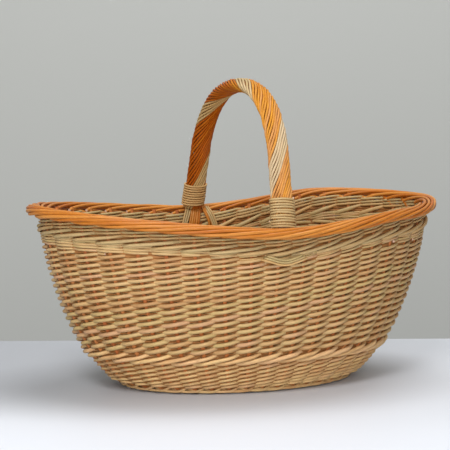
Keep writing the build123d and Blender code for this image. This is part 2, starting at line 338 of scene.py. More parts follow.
def willow(name, shades, **changes):
    look = {**plainLook, **changes}
    material, tree, shader = newMaterial(name, look["shine"])
    nodes = tree.nodes
    links = tree.links
    space = nodes.new("ShaderNodeAttribute")
    space.attribute_name = "rodSpace"
    tint = nodes.new("ShaderNodeAttribute")
    tint.attribute_name = "rodTint"
    fibres = grainNoise(tree, space.outputs["Vector"], grain["fibres"])
    drift = grainNoise(tree, space.outputs["Vector"], grain["drift"])
    patches = grainNoise(tree, space.outputs["Vector"], grain["patches"])

    drifted = stretched(tree, drift, grain["span"], (-grain["driftTint"], grain["driftTint"]))
    ramp = nodes.new("ShaderNodeValToRGB")
    band = ramp.color_ramp
    for number, shade in enumerate(shades):
        position = number / (len(shades) - 1)
        stop = band.elements[number] if number < 2 else band.elements.new(position)
        stop.position = position
        stop.color = (*shade, 1)
    links.new(combined(tree, "ADD", tint.outputs["Fac"], drifted), ramp.inputs["Fac"])

    stained = nodes.new("ShaderNodeMix")
    stained.data_type = "RGBA"
    links.new(stretched(tree, patches, grain["patchSpan"], (0.0, look["stain"])), stained.inputs["Factor"])
    links.new(ramp.outputs["Color"], stained.inputs["A"])
    stained.inputs["B"].default_value = (*look["stainColour"], 1)

    streaked = nodes.new("ShaderNodeHueSaturation")
    streaks = stretched(tree, fibres, grain["span"], (1 - look["fibre"], 1 + look["fibre"]))
    links.new(stained.outputs["Result"], streaked.inputs["Color"])
    links.new(streaks, streaked.inputs["Value"])
    links.new(streaked.outputs["Color"], shader.inputs["Base Color"])
    links.new(stretched(tree, fibres, grain["span"], look["rough"]), shader.inputs["Roughness"])

    bump = nodes.new("ShaderNodeBump")
    bump.inputs["Strength"].default_value = grain["relief"]
    bump.inputs["Distance"].default_value = grain["reliefDepth"]
    links.new(fibres, bump.inputs["Height"])
    links.new(bump.outputs["Normal"], shader.inputs["Normal"])
    return material


pale = willow(
    "pale_willow",
    [
        (0.45, 0.245, 0.10),
        (0.51, 0.32, 0.137),
        (0.54, 0.355, 0.16),
        (0.49, 0.345, 0.14),
        (0.53, 0.305, 0.155),
    ],
)
# A brighter copy of the pale willow for the foot, the lower rows and the upsett: painted light on the low
# part
paleWithPaintedLight = willow(
    "pale_painted_light_willow",
    [(0.58, 0.33, 0.14), (0.66, 0.42, 0.185), (0.68, 0.45, 0.195), (0.66, 0.40, 0.195)],
)
straw = willow(
    "straw_willow",
    [(0.53, 0.32, 0.125), (0.46, 0.325, 0.15), (0.44, 0.325, 0.14)],
    stain=0.2,
)
orange = willow(
    "orange_willow",
    [(0.42, 0.115, 0.008), (0.50, 0.17, 0.018), (0.57, 0.23, 0.042), (0.53, 0.19, 0.026)],
    rough=(0.34, 0.5),
    stain=0.3,
    stainColour=(0.25, 0.06, 0.012),
)
cream = willow(
    "cream_willow",
    [(0.47, 0.30, 0.115), (0.50, 0.36, 0.17), (0.54, 0.40, 0.235)],
    stain=0.25,
)
wrap = willow(
    "wrap_willow",
    [(0.38, 0.085, 0.003), (0.46, 0.140, 0.006), (0.60, 0.25, 0.018), (0.57, 0.26, 0.075)],
    rough=(0.40, 0.56),
    fibre=0.22,
    stain=0.5,
    stainColour=(0.20, 0.045, 0.006),
    shine=0.14,
)
brown = willow(
    "stake_willow",
    [(0.40, 0.11, 0.03), (0.52, 0.17, 0.045), (0.60, 0.25, 0.08)],
    stain=0.3,
)
# Dark brown for the rings inside the wall: painted shade in the gaps between the strokes
paintedShade = willow("painted_shade_willow", [(0.28, 0.115, 0.030), (0.38, 0.16, 0.042)], stain=0.3)
cut = willow("cut_willow", [(0.72, 0.46, 0.33), (0.78, 0.55, 0.40)], stain=0.1, fibre=0.08)

# Stakes
stakeLook = {"steps": 64, "inset": 16.0, "butt": 2.7, "tip": 2.35, "tints": (0.1, 0.9)}


def footOutward(angle):
    way = Vector((math.cos(angle) / form["footHalfLength"], math.sin(angle) / form["footHalfWidth"], 0))
    return way.normalized()


def stakeRod(number):
    # In beside the base weaving, out to the wall and up it to the border
    angle = ringAngle(number)
    top = rimRise(form["wallHalfLength"] * math.cos(angle), form["wallHalfWidth"] * math.sin(angle))
    butt = onSkin(angle, wallMiddle, wallMiddle) - numpy.array(footOutward(angle)) * stakeLook["inset"]
    heights = wallMiddle + (top - wallMiddle) * numpy.linspace(0, 1, stakeLook["steps"]) ** 2
    line = numpy.concatenate([[butt], onSkin(angle, heights, wallMiddle)])
    radius = numpy.linspace(stakeLook["butt"], stakeLook["tip"], len(line))
    return line, radius, random.uniform(*stakeLook["tints"])


for number in range(form["stakes"]):
    name = f"stake_{number + 1:02d}"
    piece = rodPiece(name + "_rod", [stakeRod(number)], [brown])
    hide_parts(name)
print("stakes done")

# Side weaving: one long rod per stake, each in front of one stake and behind the next
randing = {
    "crossings": 32,
    "perSpan": 8,
    "start": -1.0,  # stakes from its own at which a rod starts, and at which it starts to climb
    "climbStart": -0.4,
    "endShort": 0.6,
    "low": 51.0,  # height of its start, and gap between its end and the packing
    "topGap": 1.5,
    "pitchLow": 7.9,
    "pitchHigh": 5.2,
    "butt": 2.32,
    "tip": 1.62,
    "vary": 0.07,
    "seat": 0.9,
    "inside": 1.15,
    "slant": 0.6,
    "tilt": 0.15,
    "wander": 0.22,
    "wanderReach": 12,
}


def weave(turn, height, clear, phase):
    # phase 0 is outside a stake and 1 inside it; clear is the distance from the stake's middle
    depth = wallMiddle - clear * numpy.cos(math.pi * phase)
    height = height + randing["slant"] * numpy.sin(math.pi * phase)
    return onWall(turn, height, depth, randing["tilt"])


def randingRod(start):
    count = randing["crossings"]
    steps = numpy.arange(randing["start"], count - randing["endShort"], 1 / randing["perSpan"])
    share = fadeIn(steps - randing["climbStart"], count)
    low, high = randing["pitchLow"], randing["pitchHigh"]
    climb = (low * share + (high - low) * share**2 / 2) / ((low + high) / 2)
    top = packingUnderside(*wallPlan(start + steps)) - randing["topGap"]
    height = randing["low"] + (top - randing["low"]) * climb
    height = height + wander(len(steps), randing["wander"], randing["wanderReach"])
    radius = randing["butt"] + (randing["tip"] - randing["butt"]) * share
    radius = radius * varied(randing["vary"])
    clear = form["stakeRadius"] + radius * randing["seat"]
    # A little thicker where it runs inside, to fill the wall
    radius = radius * (1 + (randing["inside"] - 1) * (0.5 - 0.5 * numpy.cos(math.pi * steps)))
    return weave(start + steps, height, clear, steps), radius, random.random()


for start in range(form["stakes"]):
    piece = rodPiece(f"side_weaver_{start + 1:02d}", [randingRod(start)], [pale, cut])
    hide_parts("side_randing")

# Their dark brown is painted shade in the gaps between the strokes, not the willow's own colour.
# The hidden lengths of the weaving between the stakes, as plain rings in the middle of the wall.
# A ring or row has a height that is a function of its place in plan.
inner = {
    "points": 200,
    "tint": 0.5,
    "side": {"rows": 28, "below": 2, "radius": 1.6},
    "lower": {"rows": 16, "pitch": 2.6, "radius": 1.4},
    "top": {"low": -12, "high": 20, "pitch": 3, "radius": 1.5},
}


def innerRods(heights, radius):
    turn = numpy.linspace(0, form["stakes"], inner["points"])
    depth = numpy.full(inner["points"], wallMiddle)
    return [(onWall(turn, height(*wallPlan(turn)), depth), radius, inner["tint"]) for height in heights]


def between(share):
    # From the upsett wale to the packing
    return lambda x, y: randing["low"] + (packingUnderside(x, y) - randing["low"]) * share


def level(height):
    return lambda x, y: height + 0 * x


def besideWale(rise):
    return lambda x, y: waleUnderside(x, y) + rise


sideRings = inner["side"]
ringHeights = [between(row / sideRings["rows"]) for row in range(-sideRings["below"], sideRings["rows"] + 1)]
piece = rodPiece("side_weaving_inner", innerRods(ringHeights, sideRings["radius"]), [paintedShade], corners=6)
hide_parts("side_randing")
print("side weaving done")

# Waling: rods that go in front of some stakes and behind one, each stroke climbing over the others
waling = {
    "perSpan": 7,
    "before": 1.2,  # stakes by which a rod starts before its first stroke
    "after": 0.8,  # stakes by which it ends before the next rod's first stroke
    "turnIn": 0.5,  # stakes in which it swings in or out
    "seat": 0.85,  # share of its radius that it stands off a stake
    "hug": 1.0,  # share of the stake's radius that it swings out
    "proud": 0.0,  # bulge in the middle of a stroke
    "tilt": 0.4,
    "tip": 0.85,  # share of its radius at the tip
    "inside": 0.25,  # how much thicker it is inside, to fill the wall
    "vary": 0.05,
    "wander": 0.12,
    "wanderReach": 10,
}
footWale = {**waling, "run": 1.2, "rise": 1.0, "front": 2, "radius": 1.7, "strokes": 6}
lowerWale = {
    **waling,
    "rows": 6,
    "firstRun": 4.0,
    "top": 35.0,
    "rise": 4.6,
    "front": 1,
    "radius": 1.75,
    "strokes": 8,
    "tilt": -0.1,
    "hug": 0.5,
}
upsettWale = {**waling, "height": 42.0, "rise": 10.0, "front": 2, "radius": 2.4, "strokes": 5, "proud": 0.8}
topWale = {**waling, "above": 4.2, "rise": 10.4, "front": 2, "radius": 1.95, "strokes": 5, "proud": 1.6}
thinRows = {
    **waling,
    "rows": 3,
    "above": 11.0,
    "pitch": 3.6,
    "rise": 3.2,
    "front": 1,
    "radius": 1.3,
    "strokes": 8,
}
tipRows = {
    **waling,
    "rows": 2,
    "above": -1.0,
    "pitch": -3.0,
    "rise": 4.5,
    "front": 1,
    "radius": 1.3,
    "strokes": 5,
    "tip": 0.6,
}


def waleRods(height, look):
    period = look["front"] + 1
    rods = []
    left = set(range(form["stakes"]))
    while left:
        stroke = min(left)
        while stroke in left:
            chain = 0
            first = stroke
            while stroke in left and chain < look["strokes"]:
                left.discard(stroke)
                stroke = (stroke + period) % form["stakes"]
                chain += 1
            rods.append(waleRod(first, chain, height, look))
    return rods


def waleRod(first, chain, height, look):
    front = look["front"]
    period = front + 1
    steps = numpy.arange(-look["before"], chain * period - look["after"], 1 / look["perSpan"])
    phase = (steps + look["turnIn"]) % period
    # Outside from just before the first stake to just past the last one, inside for the rest
    edge = numpy.minimum(phase, front - phase)
    clear = form["stakeRadius"] * look["hug"] + look["radius"] * look["seat"]
    swing = numpy.clip(edge / look["turnIn"], -1, 1)
    bulge = look["proud"] * numpy.clip(numpy.sin(phase / front * math.pi), 0, 1) * (phase < front)
    depth = wallMiddle - clear * numpy.sin(swing * math.pi / 2) - bulge
    climb = numpy.where(phase <= front, phase / front - 0.5, 0.5 - (phase - front))
    turn = first + steps
    place = height(*wallPlan(turn)) + look["rise"] * climb
    place = place + wander(len(steps), look["wander"], look["wanderReach"])
    taper = 1 + (look["tip"] - 1) * numpy.linspace(0, 1, len(steps))
    thick = look["radius"] * taper * (1 - look["inside"] * numpy.minimum(swing, 0)) * varied(look["vary"])
    return onWall(turn, place, depth, look["tilt"]), thick, random.random()


# Rows of the foot and the lower wall, spaced evenly along the curve of the wall
profile = {"top": 60.0, "points": 541}
profileHeights = numpy.linspace(wallMiddle, profile["top"], profile["points"])
profileWidths = halfWidth(profileHeights, wallMiddle)
profileSteps = numpy.hypot(numpy.diff(profileHeights), numpy.diff(profileWidths))
profileRun = numpy.concatenate([[0], numpy.cumsum(profileSteps)])


def heightAlong(run):
    return float(numpy.interp(run, profileRun, profileHeights))


piece = rodPiece("foot_wale_rods", waleRods(level(heightAlong(footWale["run"])), footWale), [paleWithPaintedLight, cut])
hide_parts("foot_wale")
lowerRods = []
lowerRun = float(numpy.interp(lowerWale["top"], profileHeights, profileRun))
rowPitch = (lowerRun - lowerWale["firstRun"]) / lowerWale["rows"]
for row in range(lowerWale["rows"]):
    run = lowerWale["firstRun"] + rowPitch * (row + 0.5)
    steep = (heightAlong(run + 1) - heightAlong(run - 1)) / 2  # height gained per millimetre of the curve
    lowerRods += waleRods(level(heightAlong(run)), {**lowerWale, "rise": lowerWale["rise"] * steep})
piece = rodPiece("lower_wale_rods", lowerRods, [paleWithPaintedLight, cut], corners=6)
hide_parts("lower_wale")

# Dark rings inside the lower wall, their colour painted shade in the gaps
lowerRings = inner["lower"]
ringRuns = [lowerWale["firstRun"] + lowerRings["pitch"] * row for row in range(lowerRings["rows"])]
ringHeights = [level(heightAlong(run)) for run in ringRuns]
piece = rodPiece("lower_wale_inner", innerRods(ringHeights, lowerRings["radius"]), [paintedShade], corners=6)
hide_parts("lower_wale")
piece = rodPiece("upsett_wale_rods", waleRods(level(upsettWale["height"]), upsettWale), [paleWithPaintedLight, cut])
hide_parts("upsett_wale")
print("lower rows done")

# Top wale: a thick row of long strokes, with thin rows above it, up to the border, and below it
topRods = waleRods(besideWale(topWale["above"]), topWale)
for look in (thinRows, tipRows):
    for row in range(look["rows"]):
        topRods += waleRods(besideWale(look["above"] + look["pitch"] * row), look)
piece = rodPiece("top_wale_rods", topRods, [straw, cut])
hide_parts("top_wale")
# Dark rings inside the wall under the border, their colour painted shade in the gaps
topRings = inner["top"]
ringHeights = [besideWale(rise) for rise in range(topRings["low"], topRings["high"], topRings["pitch"])]
piece = rodPiece("top_wale_inner", innerRods(ringHeights, topRings["radius"]), [paintedShade], corners=6)
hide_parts("top_wale")

# Packing: short rows that build up both ends
packing = {
    "spreads": (8.0, 6.0, 4.2, 2.6),
    "endExtra": 0.5,
    "perSpan": 7,
    "below": 1.4,
    "pitch": 3.1,
    "halfPitch": 0.75,
    "radius": 1.35,
    "vary": 0.1,
    "seat": 0.85,
    "wander": 0.2,
    "wanderReach": 9,
}


def packingRods(side):
    rods = []
    middle = form["stakes"] * (0.25 if side > 0 else 0.75) - form["stakePhase"]
    for row, spread in enumerate(packing["spreads"]):
        reach = spread + packing["endExtra"]
        steps = numpy.arange(-reach, reach, 1 / packing["perSpan"])
        turn = middle + steps
        for parity in (0, 1):
            shift = packing["halfPitch"] * (1 if parity else -1)
            height = waleUnderside(*wallPlan(turn)) - packing["below"] - packing["pitch"] * row + shift
            radius = packing["radius"] * varied(packing["vary"])
            clear = form["stakeRadius"] + radius * packing["seat"]
            height = height + wander(len(steps), packing["wander"], packing["wanderReach"])
            rods.append((weave(turn, height, clear, turn + parity), radius, random.random()))
    return rods


for side, node in ((1, "right_packing"), (-1, "left_packing")):
    piece = rodPiece(node + "_rods", packingRods(side), [pale, cut])
    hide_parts(node)
print("top rows done")

# Rolled border: the stakes' tops, each wound out, over and down inside along the rim. Spans are counted in
# stakes from the rod's own; out and up are millimetres from the middle of the rim.
border = {
    "spans": (0.0, 0.3, 0.6, 1.0, 1.5, 2.0, 3.0, 4.0, 5.0, 6.0, 6.8, 7.2),
    "out": (-9.0, -8.0, -4.0, 3.2, 6.6, 7.9, 7.7, 4.4, -0.4, -5.2, -8.8, -10.6),
    "up": (-11.0, -5.5, -3.6, -4.6, -4.2, -2.4, 1.0, 3.3, 3.9, 2.5, -0.6, -4.0),
    "perSpan": 12,
    "steps": 100,
    "butt": 1.85,
    "tip": 1.65,
    "vary": 0.06,
    "wanderOut": 0.3,
    "wanderUp": 0.25,
    "wanderReach": 16,
    "shortfall": 3.2,
    "coreOuts": (2.5, -3.0),
    "coreUp": -0.6,
    "coreRadius": 2.0,
    "coreShadeTint": -0.5,
    "coreSteps": 400,
}


def borderPlace(angle, out, up):
    x = borderHalfLength * numpy.cos(angle)
    y = borderHalfWidth * numpy.sin(angle)
    normal = (numpy.cos(angle) / borderHalfLength, numpy.sin(angle) / borderHalfWidth, 0 * x)
    height = rimRise(x, y)
    # The right end falls a little short
    x = x - border["shortfall"] * numpy.clip(numpy.cos(angle), 0, 1) ** 4
    centre = numpy.stack([x, y, height], axis=-1)
    outward = unit(numpy.stack(normal, axis=-1))
    return centre + outward * out[:, None] + numpy.array([0.0, 0.0, 1.0]) * up[:, None]


def borderRod(number):
    count = border["steps"]
    share = numpy.linspace(0, 1, count)
    radius = border["butt"] + (border["tip"] - border["butt"]) * share
    radius = radius * varied(border["vary"])
    knots = smooth(list(zip(border["spans"], border["out"], border["up"])), border["perSpan"])
    span = share * border["spans"][-1]
    reach = border["wanderReach"]
    out = numpy.interp(span, knots[:, 0], knots[:, 1]) + wander(count, border["wanderOut"], reach)
    up = numpy.interp(span, knots[:, 0], knots[:, 2]) + wander(count, border["wanderUp"], reach)
    return borderPlace(ringAngle(number + span), out, up), radius, random.random()


borderRods = [borderRod(number) for number in range(form["stakes"])]
# Two core rods inside the border, tinted to the darkest orange as painted shade in the gaps between its
# strands
coreAngles = ringAngle(numpy.linspace(0, form["stakes"], border["coreSteps"]))
for out in border["coreOuts"]:
    core = borderPlace(coreAngles, out + 0 * coreAngles, border["coreUp"] + 0 * coreAngles)
    borderRods.append((core, border["coreRadius"], border["coreShadeTint"]))
piece = rodPiece("rolled_border_rods", borderRods, [orange, cut], corners=10)
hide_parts("rolled_border")
print("border done")

# Handle: the bow, and the rods wound round it side by side
handle = {
    "crownRadius": 179.0,
    "crownAngle": 13.8,
    "shoulderRadius": 103.0,
    "legAngle": 73.5,
    "bottom": 183.3,
    "footPlace": 137.0,
    "lean": 1.9,
    "skew": 2.5,
    "wide": 12.0,
    "deep": 8.0,
    "bowRadius": 6.2,
    "bowTint": 0.4,
    "steps": 200,
    "stepRun": 0.25,
}
# Its wrapping: turns in degrees per millimetre of the arch
wrapping = {
    "strands": 18,
    "paleStrands": 5,
    "radius": 1.3,
    "vary": (0.93, 1.05),
    "bandTurn": 92.0,
    "nearRate": 1.6,
    "nearGain": 0.01235,
    "nearReach": 110.0,
    "farRate": 2.78,
    "crownReach": 12.0,
    "evening": 0.18,
    "tintSpread": 0.3,
    "tintPlace": 25.0,
    "tintReach": 75.0,
    "wander": 0.3,
    "wanderReach": 20,
}


def archPlace(run):
    # Point and outward way on the arch, run in millimetres from the crown towards the far leg
    side = numpy.sign(run)
    run = numpy.abs(run)
    crown = math.radians(handle["crownAngle"])
    leg = math.radians(handle["legAngle"])
    crownRadius = handle["crownRadius"]
    shoulderRadius = handle["shoulderRadius"]
    firstRun = crownRadius * crown
    secondRun = firstRun + shoulderRadius * (leg - crown)
    top = form["handleTop"] - handle["deep"]
    crownY = crownRadius * math.sin(crown)
    crownZ = top - crownRadius * (1 - math.cos(crown))
    heading = numpy.where(run < firstRun, run / crownRadius, crown + (run - firstRun) / shoulderRadius)
    heading = numpy.minimum(heading, leg)
    y = numpy.where(
        run < firstRun,
        crownRadius * numpy.sin(heading),
        crownY + shoulderRadius * (numpy.sin(heading) - math.sin(crown)),
    )
    z = numpy.where(
        run < firstRun,
        top - crownRadius * (1 - numpy.cos(heading)),
        crownZ - shoulderRadius * (math.cos(crown) - numpy.cos(heading)),
    )
    extra = numpy.maximum(run - secondRun, 0)
    y = y + extra * math.cos(leg)
    z = z - extra * math.sin(leg)
    centre = numpy.stack([0 * y, side * y, z], axis=-1)
    outward = numpy.stack([0 * y, side * numpy.sin(heading), numpy.cos(heading)], axis=-1)
    return centre, outward


def leaned(points):
    # The whole handle leans a little along X about the rim, and its feet stand a little to the left
    lean = math.radians(handle["lean"])
    x, y, z = points.T
    x = x - handle["skew"] * fadeIn(abs(y), handle["footPlace"]) ** 2
    z = z - form["rimHeight"]
    return numpy.stack(
        [
            x * math.cos(lean) + z * math.sin(lean),
            y,
            form["rimHeight"] + z * math.cos(lean) - x * math.sin(lean),
        ],
        axis=-1,
    )


def roundBow(run, angle, wide, deep):
    centre, outward = archPlace(run)
    across = numpy.array([1.0, 0.0, 0.0]) * (wide * numpy.cos(angle))[:, None]
    return leaned(centre + across + outward * (deep * numpy.sin(angle))[:, None])


legRun = 0.0
while archPlace(numpy.array([legRun]))[0][0, 2] > handle["bottom"]:
    legRun += handle["stepRun"]
strandRun = numpy.linspace(-legRun, legRun, handle["steps"])
nearTurns = wrapping["nearRate"] - wrapping["nearGain"] * numpy.clip(strandRun, -wrapping["nearReach"], 0)
farShare = 1 / (1 + numpy.exp(-strandRun / wrapping["crownReach"]))
rate = nearTurns + (wrapping["farRate"] - nearTurns) * farShare
twist = numpy.concatenate([[0], numpy.cumsum((rate[1:] + rate[:-1]) / 2 * numpy.diff(strandRun))])
twist = twist - numpy.interp(0, strandRun, twist)
# The rods are darker at the far leg and paler at the near one
nearTint = 0.5 - 0.5 * numpy.tanh((strandRun + wrapping["tintPlace"]) / wrapping["tintReach"])
wrapRods = {"orange": [], "pale": []}
for strand in range(wrapping["strands"]):
    offset = (strand - wrapping["paleStrands"] // 2) * 360 / wrapping["strands"]
    angle = numpy.radians(wrapping["bandTurn"] + offset - twist)
    radius = wrapping["radius"] * random.uniform(*wrapping["vary"])
    wide = handle["wide"] - radius + wander(handle["steps"], wrapping["wander"], wrapping["wanderReach"])
    deep = handle["deep"] - radius + wander(handle["steps"], wrapping["wander"], wrapping["wanderReach"])
    # Even spacing round the oval rather than even angles
    angle = angle + wrapping["evening"] * numpy.sin(2 * angle)
    kind = "pale" if strand < wrapping["paleStrands"] else "orange"
    tint = wrapping["tintSpread"] * (random.random() - 0.5) + nearTint
    wrapRods[kind].append((roundBow(strandRun, angle, wide, deep), radius, tint))
bowLine = roundBow(strandRun, 0 * strandRun, 0 * strandRun, 0 * strandRun)
bowRods = [(bowLine, handle["bowRadius"], handle["bowTint"])]
bowPiece = rodPiece("handle_bow_rod", bowRods, [brown, cut], corners=12)
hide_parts("handle_bow")
for kind, material in (("orange", wrap), ("pale", cream)):
    piece = rodPiece(f"handle_{kind}_wrapping", wrapRods[kind], [material, cut])
    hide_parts("handle_wrapping")
print("handle done")

# Bindings round the foot of each leg, and the end of the near one, which comes out below it: along the
# border, in from the leg's foot, and up from its bottom
binding = {
    "radius": 1.2,
    "pitch": 2.95,
    "perTurn": 28,
    "seat": 0.9,
    "wanderAlong": 0.3,
    "alongReach": 9,
    "wanderWide": 0.2,
    "wideReach": 12,
    "endPlaces": ((-17.0, 3.0, 7.2), (-13.5, 3.0, 3.7), (-10.5, 3.5, -0.8)),
    "endPerSpan": 6,
    "endTint": 0.9,
}
legs = {
    "near_leg_binding": {"side": -1, "turns": 11, "start": -0.6, "tint": 0.4},
    "far_leg_binding": {"side": 1, "turns": 9, "start": 2.8, "tint": 0.0},
}


def bindingEnd(side):
    foot = handle["footPlace"]
    bottom = handle["bottom"]
    places = [(x, side * (foot - inward), bottom + up) for x, inward, up in binding["endPlaces"]]
    return smooth(places, binding["endPerSpan"]), binding["radius"], binding["endTint"]


for node, leg in legs.items():
    turn = numpy.linspace(0, leg["turns"], leg["turns"] * binding["perTurn"])
    run = leg["side"] * (legRun - leg["start"] - turn * binding["pitch"])
    run = run + wander(len(turn), binding["wanderAlong"], binding["alongReach"])
    stand = binding["radius"] * binding["seat"]
    wide = handle["wide"] + stand + wander(len(turn), binding["wanderWide"], binding["wideReach"])
    line = roundBow(run, turn * 2 * math.pi, wide, handle["deep"] + stand)
    rods = [(line, binding["radius"], leg["tint"])]
    if leg["side"] < 0:
        rods.append(bindingEnd(leg["side"]))
    piece = rodPiece(node + "_rod", rods, [straw, cut])
    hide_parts(node)

# Tails of the wrapping: down inside the border, out through the wall and under the border
tails = {
    "count": 3,
    "radius": 1.15,
    "gap": 0.3,
    "pitch": 2.7,
    "top": 8.0,
    "shoulder": 13.0,
    "wall": 19.5,
    "drop": 29.0,
    "sag": 5.0,
    "fallShare": 2 / 3,
    "before": 1.0,
    "beforeRise": 3.0,
    "past": 3.0,
    "pastDrop": 1.0,
    "nearShift": -3.0,
    "farShift": 4.0,
    "perSpan": 8,
}
# Ends of the wrapping's rods, which fan out below the binding and go into the wall from inside: each one's
# place at the top and at the bottom, and the path that all of them share
fan = {
    "places": ((-7.0, -12.0), (-4.6, -9.2), (-2.2, -6.4), (0.2, -3.6), (2.6, -0.8), (6.0, 13.0), (8.0, 16.2)),
    "radius": 1.35,
    "inset": 1.8,
    "topShare": 0.8,
    "bottomShare": 1.1,
    "start": 0.5,
    "startRise": 8.0,
    "leave": -0.5,
    "leaveDrop": 1.0,
    "bend": 1.5,
    "bendRise": 1.0,
    "enterDrop": 9.0,
    "inWall": 6.0,
    "inWallDrop": 20.0,
}


def tailShift(side):
    return tails["farShift"] if side > 0 else tails["nearShift"]


def tailRod(number, side):
    offset = number * tails["pitch"]
    gap = tails["gap"]
    proud = tails["radius"] + gap
    holeX = tails["wall"] + offset
    holeZ = form["rimHeight"] - tails["drop"] + tails["sag"] - offset * tails["fallShare"]
    loopZ = holeZ - holeX * tails["sag"] / tails["wall"]
    inside = wallInside(holeZ) - proud
    outside = float(halfWidth(holeZ, 0.0)) + proud
    shoulder = wallInside(borderUnder) - proud - gap
    top = borderHalfWidth - form["borderWidth"] / 2 - proud
    half = [
        (tails["top"] + offset, top, handle["bottom"] - gap),
        (tails["shoulder"] + offset, shoulder, borderUnder + gap),
        (holeX - tails["before"], inside, holeZ + tails["beforeRise"]),
        (holeX, (inside + outside) / 2, holeZ),
        (holeX - tails["past"], outside, holeZ - tails["pastDrop"]),
    ]
    shift = tailShift(side)
    line = [(shift - x, side * y, z) for x, y, z in half]
    line.append((shift, side * outside, loopZ))
    line += [(shift + x, side * y, z) for x, y, z in reversed(half)]
    return smooth(line, tails["perSpan"]), tails["radius"], random.random()


def fanRod(top, bottom, side):
    foot = handle["footPlace"]
    inside = wallInside(borderUnder) - fan["inset"]
    shift = tailShift(side)
    bottomX = bottom * fan["bottomShare"]
    line = [
        (shift + top * fan["topShare"], side * (foot + fan["start"]), handle["bottom"] + fan["startRise"]),
        (shift + top, side * (foot + fan["leave"]), handle["bottom"] - fan["leaveDrop"]),
        (shift + (top + bottom) / 2, side * (inside + fan["bend"]), borderUnder + fan["bendRise"]),
        (shift + bottom, side * inside, borderUnder - fan["enterDrop"]),
        (shift + bottomX, side * (inside + fan["inWall"]), borderUnder - fan["inWallDrop"]),
    ]
    return smooth(line, tails["perSpan"]), fan["radius"], random.random()


for side, node in ((-1, "near_wrapping_tails"), (1, "far_wrapping_tails")):
    tailRods = [tailRod(number, side) for number in range(tails["count"])]
    piece = rodPiece(node + "_rods", tailRods, [straw, cut])
    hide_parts(node)
    piece = rodPiece(node + "_wrap_ends", [fanRod(*place, side) for place in fan["places"]], [orange, cut])
    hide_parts("handle_wrapping")
print("tails done")

# Base: short pierced sticks, long sticks through them, and rods woven over and under
base = {
    "height": 7.4,
    "edge": 4.0,
    "shortSticks": 8,
    "shortRadius": 4.0,
    "shortPitch": 14.0,
    "longSticks": 3,
    "longRadius": 2.5,
    "longPitch": 9.0,
    "perSpan": 12,
    "rings": 16,
    "ringPitch": 4.6,
    "ringRadius": 1.9,
    "ringSwing": 4.6,
    "ringTurn": 0.4,
    "spokes": 44,
    "perSpoke": 6,
}


def gapAngle(share):
    gap = round(share * form["stakes"] - form["stakePhase"] - 0.5)
    return float(ringAngle(gap + 0.5))


def footPoint(angle, inset):
    x = form["footHalfLength"] * math.cos(angle)
    y = form["footHalfWidth"] * math.sin(angle)
    return Vector((x, y, base["height"])) - footOutward(angle) * inset


def stickLine(share, crossing, lengthwise):
    first = footPoint(gapAngle(share), base["edge"])
    last = footPoint(gapAngle((1.0 if lengthwise else 0.5) - share), base["edge"])
    if lengthwise:
        reach = base["shortSticks"] / 2 * base["shortPitch"]
        middle = [(x, crossing, base["height"]) for x in (-reach, 0, reach)]
        first, last = sorted((first, last), key=lambda point: point.x)
    else:
        reach = base["longSticks"] / 2 * base["longPitch"]
        middle = [(crossing, y, base["height"]) for y in (-reach, 0, reach)]
        first, last = sorted((first, last), key=lambda point: point.y)
    return smooth([first, *middle, last], base["perSpan"])


for number in range(base["longSticks"]):
    place = number - (base["longSticks"] - 1) / 2
    line = stickLine(0.25 + place / form["stakes"], place * base["longPitch"], True)
    name = f"base_long_stick_{number + 1}"
    piece = rodPiece(name + "_rod", [(line, base["longRadius"], random.random())], [brown, cut])
    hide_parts(name)
shortRods = []
for number in range(base["shortSticks"]):
    place = number - (base["shortSticks"] - 1) / 2
    line = stickLine(place / form["stakes"], place * base["shortPitch"], False)
    shortRods.append((line, base["shortRadius"], random.random()))
piece = rodPiece("base_short_sticks_rods", shortRods, [brown, cut])
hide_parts("base_short_sticks")

baseRods = []
for ring in range(base["rings"]):
    inset = base["edge"] + base["ringPitch"] * ring
    angle = numpy.linspace(0, 2 * math.pi, base["spokes"] * base["perSpoke"] + 1) + base["ringTurn"] * ring
    x = (form["footHalfLength"] - inset) * numpy.cos(angle)
    y = (form["footHalfWidth"] - inset) * numpy.sin(angle)
    for parity in (0, 1):
        swing = numpy.cos(angle * base["spokes"] / 2 + math.pi * (parity + ring))
        z = base["height"] + base["ringSwing"] * swing
        baseRods.append((numpy.stack([x, y, z], axis=-1), base["ringRadius"], random.random()))
piece = rodPiece("base_weave_rods", baseRods, [pale, cut], corners=6)
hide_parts("base_weave")
print("base done")

# Table, and wall behind it, in metres
studio = {
    "tableColour": (0.80, 0.83, 0.89),
    "tableRough": 0.5,
    "tableScale": 3.0,
    "tableSize": (6.0, 4.0, 0.04),
    "edgeWidth": 0.002,
    "edgeSteps": 3,
    "wallColour": (0.55, 0.56, 0.535),
    "wallRough": 0.9,
    "wallScale": 1.5,
    "wallSize": (12.0, 7.0, 0.0),
    "wallHeight": 1.0,
    "wallAway": 1.6,
    "mottle": 0.02,
    "shine": 0.3,
    "world": 0.35,
}
# The table's shades towards its back, as shares of its own size and of its colour
tableShade = {
    "backSpan": (0.375, 0.425),
    "sideSpan": (-0.045, 0.03),
    "side": (0.30, 0.0),
    "fallSpan": (0.35, 0.41),
    "fall": (0.88, 0.78),
}


def softPaint(name, colour, rough, scale):
    material, tree, shader = newMaterial(name, studio["shine"])
    shader.inputs["Roughness"].default_value = rough
    place = tree.nodes.new("ShaderNodeTexCoord")
    texture = tree.nodes.new("ShaderNodeTexNoise")
    texture.inputs["Scale"].default_value = scale
    tree.links.new(place.outputs["Object"], texture.inputs["Vector"])
    tone = tree.nodes.new("ShaderNodeValToRGB")
    for stop, change in zip(tone.color_ramp.elements, (-studio["mottle"], studio["mottle"])):
        stop.color = (*[v * (1 + change) for v in colour], 1)
    tree.links.new(texture.outputs["Fac"], tone.inputs["Fac"])
    tree.links.new(tone.outputs["Color"], shader.inputs["Base Color"])
    return material


